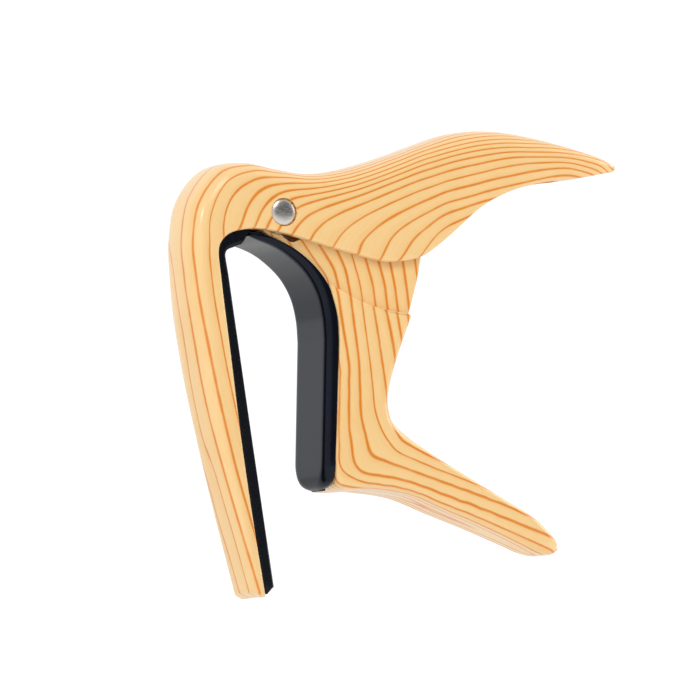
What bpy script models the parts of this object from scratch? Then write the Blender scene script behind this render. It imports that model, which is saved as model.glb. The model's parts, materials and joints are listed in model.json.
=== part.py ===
"""A spring-loaded guitar capo with a flat bar.

The upper casting is one piece: the bar over the strings, the arch round the neck's edge, two cheeks and a
hollow handle. The lower casting carries the neck pad. Its own neck goes up between the cheeks, where two ears
turn on the pivot pin, and a torsion spring round the pin pushes the handles apart.

Lengths below are millimetres from the pivot axis: x towards the handles, y along the pin, z up. Every object
has its origin on the pivot axis. The model's origin is the middle of the string pad's contact face.
"""

import math

import bmesh
import bpy
from mathutils import Vector

MM = 0.001

# Driving dimensions.
PAD_CENTRE = (-5.9, -40.0)
PAD_LEAN = 0.176  # sideways run of the string pad's contact face for each unit of height
PAD_TOP_Z = -12.0
PAD_END_Z = -69.3
CHEEK_HALF = 7.6  # half the width over the cheeks
BAY_HALF = 6.1  # half the width between the cheeks
EAR_HALF = 5.8  # half the width of the lower casting's neck
BODY_HALF = 7.35  # half the width of the lower casting's body
GAP = 0.2  # between a casting and the piece that lies on it
BARREL_RADIUS = 4.9
PIN_RADIUS = 1.8
HEAD_RADIUS = 2.32
COUNTERBORE_RADIUS = 2.62
COUNTERBORE_DEPTH = 0.75
HEAD_RISE = 0.8
WIRE_RADIUS = 0.6
COIL_RADIUS = 3.2
COIL_TURNS = 4.5
COIL_PITCH = 1.45
SLOT_HALF = 4.3  # half the width of the spring's slot between the ears
SLOT_RADIUS = 4.2
WASHER_RADIUS = 3.9
WASHER_THICKNESS = 0.6
SWEEP_RADIUS = 7.9  # the string pad's end clears the neck pad, which turns inside this radius

# Stations of the upper casting, from the bar's tip over the arch to the handle's tip:
# outer x, outer z, inner x, inner z, half width, depth of the rounding across the outer face.
UPPER = (
    (-4.8, -70.0, -2.55, -70.9, 5.25, 1.4),
    (-8.7, -56.7, -5.2, -57.2, 5.6, 2.0),
    (-12.7, -41.9, -7.8, -42.4, 6.0, 2.8),
    (-16.1, -27.2, -10.2, -26.8, 6.5, 3.6),
    (-18.2, -12.4, -12.4, -12.4, 6.95, 4.3),
    (-18.4, -5.0, -13.0, -7.7, 7.15, 4.6),
    (-16.75, 2.7, -12.2, -5.5, 7.3, 4.8),
    (-12.2, 8.2, -10.0, -4.0, 7.4, 4.8),
    (-6.4, 9.4, -6.0, -3.3, 7.5, 4.6),
    (-0.3, 8.5, -1.0, -3.7, 7.6, 4.2),
    (6.0, 7.9, 5.5, -5.1, 7.6, 4.0),
    (13.7, 9.0, 14.0, -7.0, 7.6, 4.2),
    (24.3, 12.25, 22.8, -8.3, 7.6, 4.8),
    (30.5, 14.6, 28.6, -7.1, 7.5, 5.2),
    (35.8, 16.5, 32.2, -4.8, 7.3, 5.4),
    (40.9, 17.4, 36.7, -1.2, 7.0, 5.4),
    (46.6, 17.6, 41.6, 2.8, 6.5, 5.0),
    (52.8, 17.0, 47.8, 6.0, 5.8, 4.4),
    (59.5, 15.9, 55.4, 8.2, 4.8, 3.4),
    (66.2, 14.5, 63.2, 9.4, 3.5, 2.3),
    (70.3, 13.4, 68.8, 10.5, 2.3, 1.4),
    (72.5, 12.5, 72.0, 11.2, 1.1, 0.6),
)

BAR_TIP = (-4.45, -70.6, -2.7, -71.4, 4.6, 1.1)

# Stations of the hollow under the upper handle: roof x, roof z, mouth x, mouth z, half width, rounding.
HOLLOW = (
    (-5.3, 2.5, -5.3, -9.0, BAY_HALF, 1.0),
    (-4.4, 6.3, -4.6, -9.0, BAY_HALF, 1.2),
    (-0.5, 6.8, -1.0, -9.5, BAY_HALF, 1.4),
    (6.0, 6.2, 5.5, -10.5, BAY_HALF, 1.4),
    (13.9, 7.4, 14.0, -12.0, BAY_HALF, 1.6),
    (24.6, 10.8, 23.0, -13.0, BAY_HALF, 2.6),
    (31.2, 13.2, 29.5, -12.0, 6.0, 3.4),
    (41.3, 15.7, 39.5, -6.0, 5.5, 3.6),
    (50.0, 15.2, 47.0, 1.0, 4.6, 3.0),
    (57.5, 13.8, 55.5, 5.0, 3.4, 2.0),
    (61.0, 12.6, 59.5, 6.5, 2.2, 1.2),
)

# Stations of the neck pad: contact x, contact z, seat x, seat z, half width, depth and width of the rounding
# along the contact edges. From the fourth station on, the seat is the lower casting's front.
NECK_PAD = (
    (-6.3, -4.35, -6.1, -3.75, 6.2, 0.1, 0.3),
    (-4.5, -5.2, -4.1, -3.75, 6.6, 0.5, 0.6),
    (-2.2, -6.0, -2.2, -4.55, 6.8, 0.8, 1.0),
    (0.2, -7.05, 0.8, -5.5, 6.9, 1.0, 1.2),
    (2.85, -8.8, 3.6, -7.0, 7.0, 1.0, 1.2),
    (5.6, -11.45, 7.05, -9.85, 7.0, 1.0, 1.2),
    (7.6, -14.75, 9.6, -13.4, 7.0, 1.0, 1.2),
    (8.7, -18.7, 11.05, -17.8, 7.0, 1.0, 1.2),
    (9.1, -23.0, 11.6, -23.0, 7.0, 1.0, 1.2),
)
NECK_PAD_END = (
    (8.65, -46.0, 10.93, -46.0, 7.0, 1.0, 1.2),
    (8.75, -48.6, 10.85, -48.1, 6.7, 1.0, 1.6),
    (9.1, -50.1, 10.85, -49.4, 5.9, 0.9, 2.2),
    (9.8, -50.9, 11.0, -50.2, 4.9, 0.5, 2.5),
)
PAD_STEPS = 2
SEAT_FROM = 3  # the first key station whose seat lies on the casting

# Stations of the lower casting's body and handle: front x, front z, back x, back z, half width, depth of
# the rounding across the back and the handle's upper face.
LOWER = (
    (9.0, -11.8, 28.0, -13.0, BODY_HALF, 1.2),
    (11.05, -17.8, 27.1, -18.6, BODY_HALF, 1.4),
    (11.6, -23.0, 24.9, -24.8, BODY_HALF, 1.8),
    (11.37, -31.0, 22.95, -31.6, BODY_HALF, 2.2),
    (11.12, -39.5, 22.9, -35.8, BODY_HALF, 2.6),
    (10.93, -46.0, 24.2, -38.4, BODY_HALF, 2.8),
    (11.6, -50.2, 26.7, -40.5, 7.3, 2.8),
    (19.5, -50.75, 30.2, -42.8, 7.1, 2.8),
    (27.0, -51.6, 34.5, -45.2, 6.8, 2.6),
    (35.5, -54.5, 41.0, -48.5, 6.35, 2.5),
    (44.0, -57.5, 47.8, -51.9, 5.8, 2.4),
    (51.5, -60.3, 54.2, -55.2, 5.1, 2.2),
    (57.0, -62.0, 58.3, -58.3, 4.2, 1.5),
    (59.7, -62.0, 60.2, -60.6, 2.8, 0.6),
)

# The back and the top of the lower casting's neck.
NECK_BACK = ((24.0, -22.5), (26.9, -18.3), (28.0, -13.0), (28.95, -8.8), (29.3, -5.0), (28.1, -3.9))
NECK_TOP = ((14.0, 0.0), (3.6, 3.9))

# The shoulder where the body gets wider than its neck.
SHOULDER = ((5.0, -11.5), (9.2, -13.0), (11.2, -13.5), (14.6, -15.5), (18.3, -17.0), (22.0, -18.1), (31.0, -18.5))

# The string pad where it turns round the arch: contact x, contact z, seat x, seat z, half width, depth and
# width of the rounding.
ARCH_PAD = (
    (-11.1, -10.2, -12.7, -9.6, 6.8, 0.8, 1.6),
    (-10.3, -8.4, -12.5, -7.2, 6.8, 1.2, 4.0),
    (-8.9, -7.1, -11.0, -4.9, 6.8, 1.7, 6.4),
    (-7.2, -6.35, -8.4, -3.95, 6.8, 2.0, 6.6),
    (-3.6, -5.5, -3.6, -3.75, 6.8, 1.5, 6.6),
)

# Colours (linear RGB), roughness and metallic value.
WOOD_FINISH = ("wood_finish", (0.93, 0.62, 0.29), 0.35, 0.0)
BLACK_SILICONE = ("black_silicone", (0.012, 0.012, 0.015), 0.45, 0.0)
SATIN_NICKEL = ("satin_nickel", (0.55, 0.53, 0.51), 0.3, 1.0)
SPRING_STEEL = ("spring_steel", (0.35, 0.35, 0.36), 0.35, 1.0)
NYLON = ("nylon", (0.75, 0.74, 0.70), 0.5, 0.0)


def clear_scene():
    for old in list(bpy.data.objects):
        bpy.data.objects.remove(old, do_unlink=True)


def pivot_empty():
    """An empty on the pivot axis that carries every piece, so that the string pad's centre is the origin."""
    empty = bpy.data.objects.new("pivot_axis", None)
    bpy.context.scene.collection.objects.link(empty)
    empty.location = (-PAD_CENTRE[0] * MM, 0.0, -PAD_CENTRE[1] * MM)
    return empty


def finish_of(finish):
    name, colour, roughness, metallic = finish
    material = bpy.data.materials.get(name)
    if material is None:
        material = bpy.data.materials.new(name)
        material.use_nodes = True
        shader = material.node_tree.nodes["Principled BSDF"]
        shader.inputs["Base Color"].default_value = (*colour, 1.0)
        shader.inputs["Roughness"].default_value = roughness
        shader.inputs["Metallic"].default_value = metallic
        material.diffuse_color = (*colour, 1.0)
    return material


def placed(name, bm, pivot, finish=None):
    """An object of this mesh on the pivot axis. Without a finish it is a hidden cutter or joining shape."""
    bmesh.ops.recalc_face_normals(bm, faces=bm.faces)
    mesh = bpy.data.meshes.new(name)
    bm.to_mesh(mesh)
    bm.free()
    mesh.shade_smooth()
    mesh.set_sharp_from_angle(angle=math.radians(35))
    piece = bpy.data.objects.new(name, mesh)
    bpy.context.scene.collection.objects.link(piece)
    piece.parent = pivot
    if finish is None:
        piece.hide_render = True
        piece.display_type = "WIRE"
    else:
        mesh.materials.append(finish_of(finish))
    return piece


def combine(piece, other, operation):
    modifier = piece.modifiers.new(other.name, "BOOLEAN")
    modifier.operation = operation
    modifier.object = other


def smooth_stations(keys, steps):
    """Stations on a smooth curve through the keys, with this many steps from each key to the next."""
    keys = [Vector(key) for key in keys]
    spans = [math.dist(a[:4], b[:4]) for a, b in zip(keys, keys[1:])]
    slopes = [(b - a) / span for a, b, span in zip(keys, keys[1:], spans)]
    tangents = [slopes[0]]
    for i in range(1, len(slopes)):
        before, after = spans[i - 1], spans[i]
        tangents.append((slopes[i - 1] * after + slopes[i] * before) / (before + after))
    tangents.append(slopes[-1])
    stations = []
    for i, span in enumerate(spans):
        for step in range(steps):
            t = step / steps
            stations.append(
                keys[i] * (2 * t**3 - 3 * t**2 + 1)
                + keys[i + 1] * (3 * t**2 - 2 * t**3)
                + tangents[i] * span * (t**3 - 2 * t**2 + t)
                + tangents[i + 1] * span * (t**3 - t**2)
            )
    stations.append(keys[-1])
    return stations


def section(station, corner, arc_steps, flatness):
    """One closed outline across a limb: a face that rounds over into flat sides, and a flat face behind it.

    Without a width of its own the rounding takes the whole face, which makes a crowned one.
    """
    outer = Vector((station[0], 0.0, station[1]))
    inner = Vector((station[2], 0.0, station[3]))
    half, depth = station[4], station[5]
    width = station[6] if len(station) > 6 else half
    width = min(width, 0.96 * half)
    thickness = (inner - outer).length
    inward = (inner - outer) / thickness
    edge = []
    for step in range(arc_steps + 1):
        angle = 0.5 * math.pi * step / arc_steps
        across = half - width + width * math.cos(angle) ** (2 / flatness)
        edge.append((across, depth * (1 - math.sin(angle) ** (2 / flatness))))
    edge = [(half - corner, thickness), (half, thickness - corner)] + edge
    points = edge + [(-across, down) for across, down in reversed(edge)]
    return [outer + inward * down + Vector((0.0, across, 0.0)) for across, down in points]


def lofted(stations, corner=0.3, arc_steps=5, flatness=2.8):
    """A closed skin over the sections of these stations."""
    bm = bmesh.new()
    rings = []
    for station in stations:
        outline = section(station, corner, arc_steps, flatness)
        rings.append([bm.verts.new(point * MM) for point in outline])
    for ring, following in zip(rings, rings[1:]):
        for i in range(len(ring)):
            j = (i + 1) % len(ring)
            bm.faces.new((ring[i], ring[j], following[j], following[i]))
    bm.faces.new(rings[0])
    bm.faces.new(rings[-1])
    return bm


def slab(outline, half, edge=0.0):
    """An outline in the x-z plane made this far out to both sides, with its edges rounded over."""
    bm = bmesh.new()
    near = [bm.verts.new(Vector((x, -half, z)) * MM) for x, z in outline]
    face = bm.faces.new(near)
    made = bmesh.ops.extrude_face_region(bm, geom=[face])["geom"]
    moved = [item for item in made if isinstance(item, bmesh.types.BMVert)]
    bmesh.ops.translate(bm, verts=moved, vec=(0.0, 2 * half * MM, 0.0))
    if edge:
        rims = [e for e in bm.edges if abs(e.verts[0].co.y - e.verts[1].co.y) < 1e-9]
        bmesh.ops.bevel(bm, geom=rims, offset=edge * MM, segments=2, profile=0.5, affect="EDGES")
    return bm


def turned(profile, sides):
    """A profile of (radius, y) points turned round the pivot axis. The profile starts and ends on the axis."""
    bm = bmesh.new()
    first = bm.verts.new((0.0, profile[0][1] * MM, 0.0))
    last = bm.verts.new((0.0, profile[-1][1] * MM, 0.0))
    rings = []
    for radius, y in profile[1:-1]:
        turns = [2 * math.pi * i / sides for i in range(sides)]
        rings.append([bm.verts.new(Vector((radius * math.cos(a), y, radius * math.sin(a))) * MM) for a in turns])
    for i in range(sides):
        j = (i + 1) % sides
        bm.faces.new((first, rings[0][i], rings[0][j]))
        bm.faces.new((last, rings[-1][j], rings[-1][i]))
        for ring, following in zip(rings, rings[1:]):
            bm.faces.new((ring[i], following[i], following[j], ring[j]))
    return bm


def tube(inner_radius, outer_radius, start_y, end_y, sides):
    """A straight tube round the pivot axis."""
    bm = bmesh.new()
    corners = ((outer_radius, start_y), (outer_radius, end_y), (inner_radius, end_y), (inner_radius, start_y))
    rings = []
    for radius, y in corners:
        turns = [2 * math.pi * i / sides for i in range(sides)]
        rings.append([bm.verts.new(Vector((radius * math.cos(a), y, radius * math.sin(a))) * MM) for a in turns])
    for ring, following in zip(rings, rings[1:] + rings[:1]):
        for i in range(sides):
            j = (i + 1) % sides
            bm.faces.new((ring[i], following[i], following[j], ring[j]))
    return bm


def drum(radius, start_y, end_y, sides):
    """A plain solid cylinder round the pivot axis."""
    return turned(((0.0, start_y), (radius, start_y), (radius, end_y), (0.0, end_y)), sides)


def stepped_hole(sink_radius, floor_y):
    """A cutter for the pin's hole with a wider sink outside floor_y on both sides."""
    hole_radius, end = PIN_RADIUS + GAP, 9.0
    near = [(0.0, -end), (sink_radius, -end), (sink_radius, -floor_y), (hole_radius, -floor_y)]
    return turned(near + [(radius, -y) for radius, y in reversed(near)], 28)


def arc(radius, start_degrees, end_degrees, steps):
    """Points on a circle round the pivot axis, in the x-z plane."""
    angles = [math.radians(start_degrees + (end_degrees - start_degrees) * i / steps) for i in range(steps + 1)]
    return [(radius * math.cos(a), radius * math.sin(a)) for a in angles]


def build_bar_jaw(pivot):
    jaw = placed("bar_jaw", lofted([BAR_TIP] + smooth_stations(UPPER, 2)), pivot, WOOD_FINISH)
    hollow = placed("hollow_cutter", lofted(smooth_stations(HOLLOW, 2), arc_steps=4), pivot)
    combine(jaw, hollow, "DIFFERENCE")
    hole = stepped_hole(COUNTERBORE_RADIUS, CHEEK_HALF - COUNTERBORE_DEPTH)
    combine(jaw, placed("pin_hole_cutter", hole, pivot), "DIFFERENCE")
    return jaw


def neck_outline():
    barrel = arc(BARREL_RADIUS, 60.0, 262.0, 16)
    seat = [(station[2], station[3]) for station in smooth_stations(NECK_PAD, PAD_STEPS)]
    return barrel + seat[SEAT_FROM * PAD_STEPS :] + list(NECK_BACK) + list(NECK_TOP)


def spring_slot_outline():
    """The spring's bay between the ears, and the channel that its lower leg lies in."""
    bay = arc(SLOT_RADIUS, 200.0, 245.0, 5)
    return [(-7.0, 7.0), (-7.0, -1.4)] + bay + [(15.4, -11.8), (17.2, -10.6), (18.6, 6.0)]


def build_neck_jaw(pivot):
    jaw = placed("neck_jaw", lofted(smooth_stations(flipped(LOWER), 2)), pivot, WOOD_FINISH)
    above = [(4.0, 0.0)] + list(SHOULDER) + [(34.0, 0.0)]
    combine(jaw, placed("shoulder_cutter", slab(above, 12.0), pivot), "DIFFERENCE")
    combine(jaw, placed("neck_shape", slab(neck_outline(), EAR_HALF, 0.4), pivot), "UNION")
    combine(jaw, placed("spring_slot_cutter", slab(spring_slot_outline(), SLOT_HALF), pivot), "DIFFERENCE")
    relief = slab([(x + 2.8, z - 3.6) for x, z in arc(1.6, 0.0, 337.5, 15)], 9.0)
    combine(jaw, placed("ear_relief_cutter", relief, pivot), "DIFFERENCE")
    hole = stepped_hole(WASHER_RADIUS + GAP, EAR_HALF - WASHER_THICKNESS)
    combine(jaw, placed("ear_hole_cutter", hole, pivot), "DIFFERENCE")
    return jaw


def flipped(stations):
    """The same stations with the rounded face on the back and the flat face on the front."""
    return [(s[2], s[3], s[0], s[1], s[4], s[5]) for s in stations]


def string_pad_x(z):
    return PAD_CENTRE[0] - PAD_LEAN * (z - PAD_CENTRE[1])


def bar_seat(z):
    """The bar's inner face at this height, as the stations of the upper casting give it."""
    stations = smooth_stations(UPPER, 8)
    for a, b in zip(stations, stations[1:]):
        if a[3] <= z <= b[3]:
            share = (z - a[3]) / (b[3] - a[3])
            return a[2] + (b[2] - a[2]) * share, a[4] + (b[4] - a[4]) * share
    raise ValueError("no bar at this height")


def string_pad_station(z):
    seat_x, half = bar_seat(z)
    rounding = 0.5
    return (string_pad_x(z), z, seat_x + GAP, z, half - 0.15, rounding, rounding)


def build_string_pad(pivot):
    end_z = PAD_END_Z - 1.2
    end_x, end_half = bar_seat(end_z)
    stations = [(end_x + 0.7, end_z, end_x + GAP, end_z, end_half - 0.3, 0.1, 0.2)]
    count = 8
    for i in range(count + 1):
        stations.append(string_pad_station(PAD_END_Z + (PAD_TOP_Z - PAD_END_Z) * i / count))
    stations += smooth_stations([stations[-1], *ARCH_PAD], 3)[1:]
    pad = placed("string_pad", lofted(stations, 0.15, 3, 2.0), pivot, BLACK_SILICONE)
    sweep = placed("pad_sweep_cutter", drum(SWEEP_RADIUS, -12.0, 12.0, 48), pivot)
    combine(pad, sweep, "DIFFERENCE")
    return pad


def build_neck_pad(pivot):
    stations = smooth_stations(NECK_PAD, PAD_STEPS) + smooth_stations(NECK_PAD_END, PAD_STEPS)
    for station in stations:
        contact, seat = Vector(station[0:2]), Vector(station[2:4])
        station[2:4] = seat + (contact - seat).normalized() * GAP
    return placed("neck_pad", lofted(stations, arc_steps=3, flatness=2.0), pivot, BLACK_SILICONE)


def head_profile(floor_y, side):
    """Half of a shallow domed head, from its flat underside at floor_y to the middle of the dome."""
    rim = 0.25
    profile = [(HEAD_RADIUS, floor_y), (HEAD_RADIUS, floor_y + side * rim)]
    steps = 5
    for i in range(1, steps):
        angle = 0.5 * math.pi * i / steps
        profile.append((HEAD_RADIUS * math.cos(angle), floor_y + side * (rim + (HEAD_RISE - rim) * math.sin(angle))))
    return profile + [(0.0, floor_y + side * HEAD_RISE)]


def build_pin(pivot):
    floor = CHEEK_HALF - COUNTERBORE_DEPTH + 0.1
    bore_radius, bore_floor, end = 1.05, 2.2, 6.6
    shank = [(0.0, bore_floor), (bore_radius, bore_floor), (bore_radius, end), (PIN_RADIUS, end)]
    pin = shank + [(PIN_RADIUS, -floor)] + head_profile(-floor, -1)
    placed("pivot_pin", turned(pin, 24), pivot, SATIN_NICKEL)
    stem_radius, stem_end = bore_radius - 0.15, bore_floor + 0.4
    cap = [(0.0, stem_end), (stem_radius, stem_end), (stem_radius, floor)] + head_profile(floor, 1)
    placed("pivot_cap", turned(cap, 24), pivot, SATIN_NICKEL)


def build_washers(pivot):
    thin_gap = 0.5 * (BAY_HALF - EAR_HALF)
    for side, name in ((-1, "front"), (1, "rear")):
        faces = sorted(side * y for y in (EAR_HALF - WASHER_THICKNESS + thin_gap, EAR_HALF + thin_gap))
        ring = tube(PIN_RADIUS + GAP, WASHER_RADIUS, *faces, 28)
        placed("thrust_washer_" + name, ring, pivot, NYLON)


def spring_path():
    """The wire's centre line: lower leg, coils along the pin, and upper leg."""
    lower_tilt, upper_tilt = math.radians(25.0), math.radians(12.0)
    start, end = math.pi + lower_tilt, 2 * math.pi * (COIL_TURNS + 0.5) - upper_tilt
    half_length = 0.5 * COIL_PITCH * (end - start) / (2 * math.pi)
    steps_a_turn = 16
    steps = round(steps_a_turn * (end - start) / (2 * math.pi))
    coil = []
    for i in range(steps + 1):
        share = i / steps
        angle = start + (end - start) * share
        y = -half_length + 2 * half_length * share
        coil.append(Vector((COIL_RADIUS * math.sin(angle), y, COIL_RADIUS * math.cos(angle))))
    lower = Vector((math.cos(lower_tilt), 0.0, -math.sin(lower_tilt)))
    upper = Vector((math.cos(upper_tilt), 0.0, math.sin(upper_tilt)))
    return [coil[0] + lower * 13.0, coil[0] + lower * 1.0] + coil + [coil[-1] + upper * 1.0, coil[-1] + upper * 14.0]


def build_spring(pivot):
    curve = bpy.data.curves.new("torsion_spring", "CURVE")
    curve.dimensions = "3D"
    curve.bevel_depth = WIRE_RADIUS * MM
    curve.bevel_resolution = 2
    curve.use_fill_caps = True
    path = spring_path()
    spline = curve.splines.new("POLY")
    spline.points.add(len(path) - 1)
    for point, place in zip(spline.points, path):
        point.co = (*(place * MM), 1.0)
    curve.materials.append(finish_of(SPRING_STEEL))
    spring = bpy.data.objects.new("torsion_spring", curve)
    bpy.context.scene.collection.objects.link(spring)
    spring.parent = pivot


def build_sleeve(pivot):
    outer = COIL_RADIUS - WIRE_RADIUS - 0.15
    placed("spring_sleeve", tube(PIN_RADIUS + 0.15, outer, -SLOT_HALF + 0.2, SLOT_HALF - 0.2, 24), pivot, NYLON)


def main():
    clear_scene()
    pivot = pivot_empty()
    build_bar_jaw(pivot)
    build_neck_jaw(pivot)
    build_string_pad(pivot)
    build_neck_pad(pivot)
    build_pin(pivot)
    build_washers(pivot)
    build_spring(pivot)
    build_sleeve(pivot)


main()
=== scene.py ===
"""A spring-loaded guitar capo in a printed wood finish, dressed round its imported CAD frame.

Lengths in the tables are millimetres from the pivot axis: x towards the handles, y along the pin, z up.
"""

import json
import math

import bmesh
import bpy
import numpy as np
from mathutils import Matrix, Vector
from mathutils.geometry import delaunay_2d_cdt


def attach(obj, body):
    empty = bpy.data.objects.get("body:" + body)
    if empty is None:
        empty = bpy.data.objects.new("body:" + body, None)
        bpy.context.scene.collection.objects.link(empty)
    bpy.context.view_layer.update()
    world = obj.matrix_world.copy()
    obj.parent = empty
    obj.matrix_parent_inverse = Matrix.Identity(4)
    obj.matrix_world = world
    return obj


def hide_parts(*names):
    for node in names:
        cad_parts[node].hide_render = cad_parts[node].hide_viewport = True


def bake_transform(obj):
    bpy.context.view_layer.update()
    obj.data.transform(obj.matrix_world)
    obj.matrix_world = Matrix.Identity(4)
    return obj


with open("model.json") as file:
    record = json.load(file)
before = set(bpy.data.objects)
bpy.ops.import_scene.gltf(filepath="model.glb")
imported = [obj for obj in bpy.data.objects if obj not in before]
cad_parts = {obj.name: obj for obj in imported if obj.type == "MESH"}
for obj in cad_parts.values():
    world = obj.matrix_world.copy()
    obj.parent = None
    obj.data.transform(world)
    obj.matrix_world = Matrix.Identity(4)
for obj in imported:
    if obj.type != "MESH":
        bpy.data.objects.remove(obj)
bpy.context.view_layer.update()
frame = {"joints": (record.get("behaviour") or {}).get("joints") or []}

MM = 0.001
PIVOT = np.array(frame["joints"][0]["pos_m"]) / MM

# Half widths, radii and depths of the castings, the pin, the spring and the washers.
CHEEK_HALF = 7.6
BAY_HALF = 6.1
EAR_HALF = 5.8
BODY_HALF = 7.35
BARREL_RADIUS = 4.9
PIN_RADIUS = 1.8
HOLE_RADIUS = 2.0
HEAD_RADIUS = 2.54
SINK_RADIUS = 2.62
SINK_DEPTH = 0.75
HEAD_RISE = 0.8  # how far the dome stands out from the floor of its sink
WIRE_RADIUS = 0.6
COIL_RADIUS = 3.2
COIL_TURNS = 4.5
COIL_PITCH = 1.45
SLOT_HALF = 4.3
SLOT_RADIUS = 4.2
WASHER_RADIUS = 3.9
WASHER_THICKNESS = 0.6
CUTTER_REACH = 9.0  # how far a cutter goes to both sides, past every face
PIN_RUN, PIN_ROUND = 86.0, 8.0  # the pin's place on the upper casting: distance along, distance round

# The straight part of the string pad: a point of its contact face, the lean of that face, and its two ends.
PAD_CENTRE = (-5.9, -40.0)
PAD_LEAN = 0.176
PAD_TOP_Z = -12.0
PAD_END_Z = -69.3
PAD_TIP = 1.2  # how far the pad tapers on past its lower end
PAD_MARGIN = 0.15  # how much wood shows beside it

# Stations of the upper casting, from the bar's tip over the arch to the handle's tip:
# outer x, outer z, inner x, inner z, half width, depth of the rounding across the outer face.
UPPER = (
    (-4.8, -70.0, -2.55, -70.9, 5.25, 1.4),
    (-8.7, -56.7, -5.2, -57.2, 5.6, 2.0),
    (-12.7, -41.9, -7.8, -42.4, 6.0, 2.8),
    (-16.1, -27.2, -10.2, -26.8, 6.5, 3.6),
    (-18.2, -12.4, -12.4, -12.4, 6.95, 4.3),
    (-18.4, -5.0, -13.0, -7.7, 7.15, 4.6),
    (-16.75, 2.7, -12.2, -5.5, 7.3, 4.8),
    (-12.2, 8.2, -10.0, -4.0, 7.4, 4.8),
    (-6.4, 9.4, -6.0, -3.3, 7.5, 4.6),
    (-0.3, 8.5, -1.0, -3.7, 7.6, 4.2),
    (6.0, 7.9, 5.5, -5.1, 7.6, 4.0),
    (13.7, 9.0, 14.0, -7.0, 7.6, 4.2),
    (24.3, 12.25, 22.8, -8.3, 7.6, 4.8),
    (30.5, 14.6, 28.6, -7.1, 7.5, 5.2),
    (35.8, 16.5, 32.2, -4.8, 7.3, 5.4),
    (40.9, 17.4, 36.7, -1.2, 7.0, 5.4),
    (46.6, 17.6, 41.6, 2.8, 6.5, 5.0),
    (52.8, 17.0, 47.8, 6.0, 5.8, 4.4),
    (59.5, 15.9, 55.4, 8.2, 4.8, 3.4),
    (66.2, 14.5, 63.2, 9.4, 3.5, 2.3),
    (70.3, 13.4, 68.8, 10.5, 2.3, 1.4),
    (72.5, 12.5, 72.0, 11.2, 1.1, 0.6),
)

# Stations of the hollow under the upper handle: roof x, roof z, mouth x, mouth z, half width, rounding.
HOLLOW = (
    (-5.3, 2.5, -5.3, -9.0, BAY_HALF, 1.0),
    (-4.4, 6.3, -4.6, -9.0, BAY_HALF, 1.2),
    (-0.5, 6.8, -1.0, -9.5, BAY_HALF, 1.4),
    (6.0, 6.2, 5.5, -10.5, BAY_HALF, 1.4),
    (13.9, 7.4, 14.0, -12.0, BAY_HALF, 1.6),
    (24.6, 10.8, 23.0, -13.0, BAY_HALF, 2.6),
    (31.2, 13.2, 29.5, -12.0, 6.0, 3.4),
    (41.3, 15.7, 39.5, -6.0, 5.5, 3.6),
    (50.0, 15.2, 47.0, 1.0, 4.6, 3.0),
    (57.5, 13.8, 55.5, 5.0, 3.4, 2.0),
    (61.0, 12.6, 59.5, 6.5, 2.2, 1.2),
)
HOLLOW_RUN = 80.6  # how far along the upper casting the hollow starts

# Stations of the neck pad: contact x, contact z, seat x, seat z, half width, depth and width of the rounding.
NECK_PAD = (
    (-6.3, -4.6, -6.1, -3.8, 6.2, 0.2, 0.5),
    (-4.5, -5.3, -4.1, -3.95, 6.6, 0.7, 0.9),
    (-2.2, -6.05, -2.1, -4.7, 6.8, 1.1, 1.3),
    (0.2, -7.1, 0.8, -5.8, 6.9, 1.2, 1.5),
    (2.85, -8.85, 3.65, -7.35, 7.0, 1.3, 1.6),
    (5.6, -11.45, 7.05, -10.1, 7.0, 1.4, 1.6),
    (7.6, -14.75, 9.6, -13.4, 7.0, 1.4, 1.6),
    (8.7, -18.7, 11.05, -17.8, 7.0, 1.5, 1.6),
    (9.1, -23.0, 11.6, -23.0, 7.0, 1.5, 1.6),
)
NECK_PAD_END = (
    (8.65, -46.0, 10.93, -46.0, 7.0, 1.5, 1.6),
    (8.68, -47.4, 10.9, -47.3, 6.9, 1.5, 1.9),
    (8.78, -48.8, 10.88, -48.6, 6.5, 1.5, 2.4),
    (9.0, -49.8, 10.88, -49.5, 5.8, 1.4, 2.8),
    (9.35, -50.45, 10.9, -50.15, 4.8, 1.15, 3.0),
    (9.75, -50.8, 10.95, -50.55, 3.6, 0.8, 2.6),
    (10.1, -50.95, 11.0, -50.8, 2.4, 0.3, 1.6),
)

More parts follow.
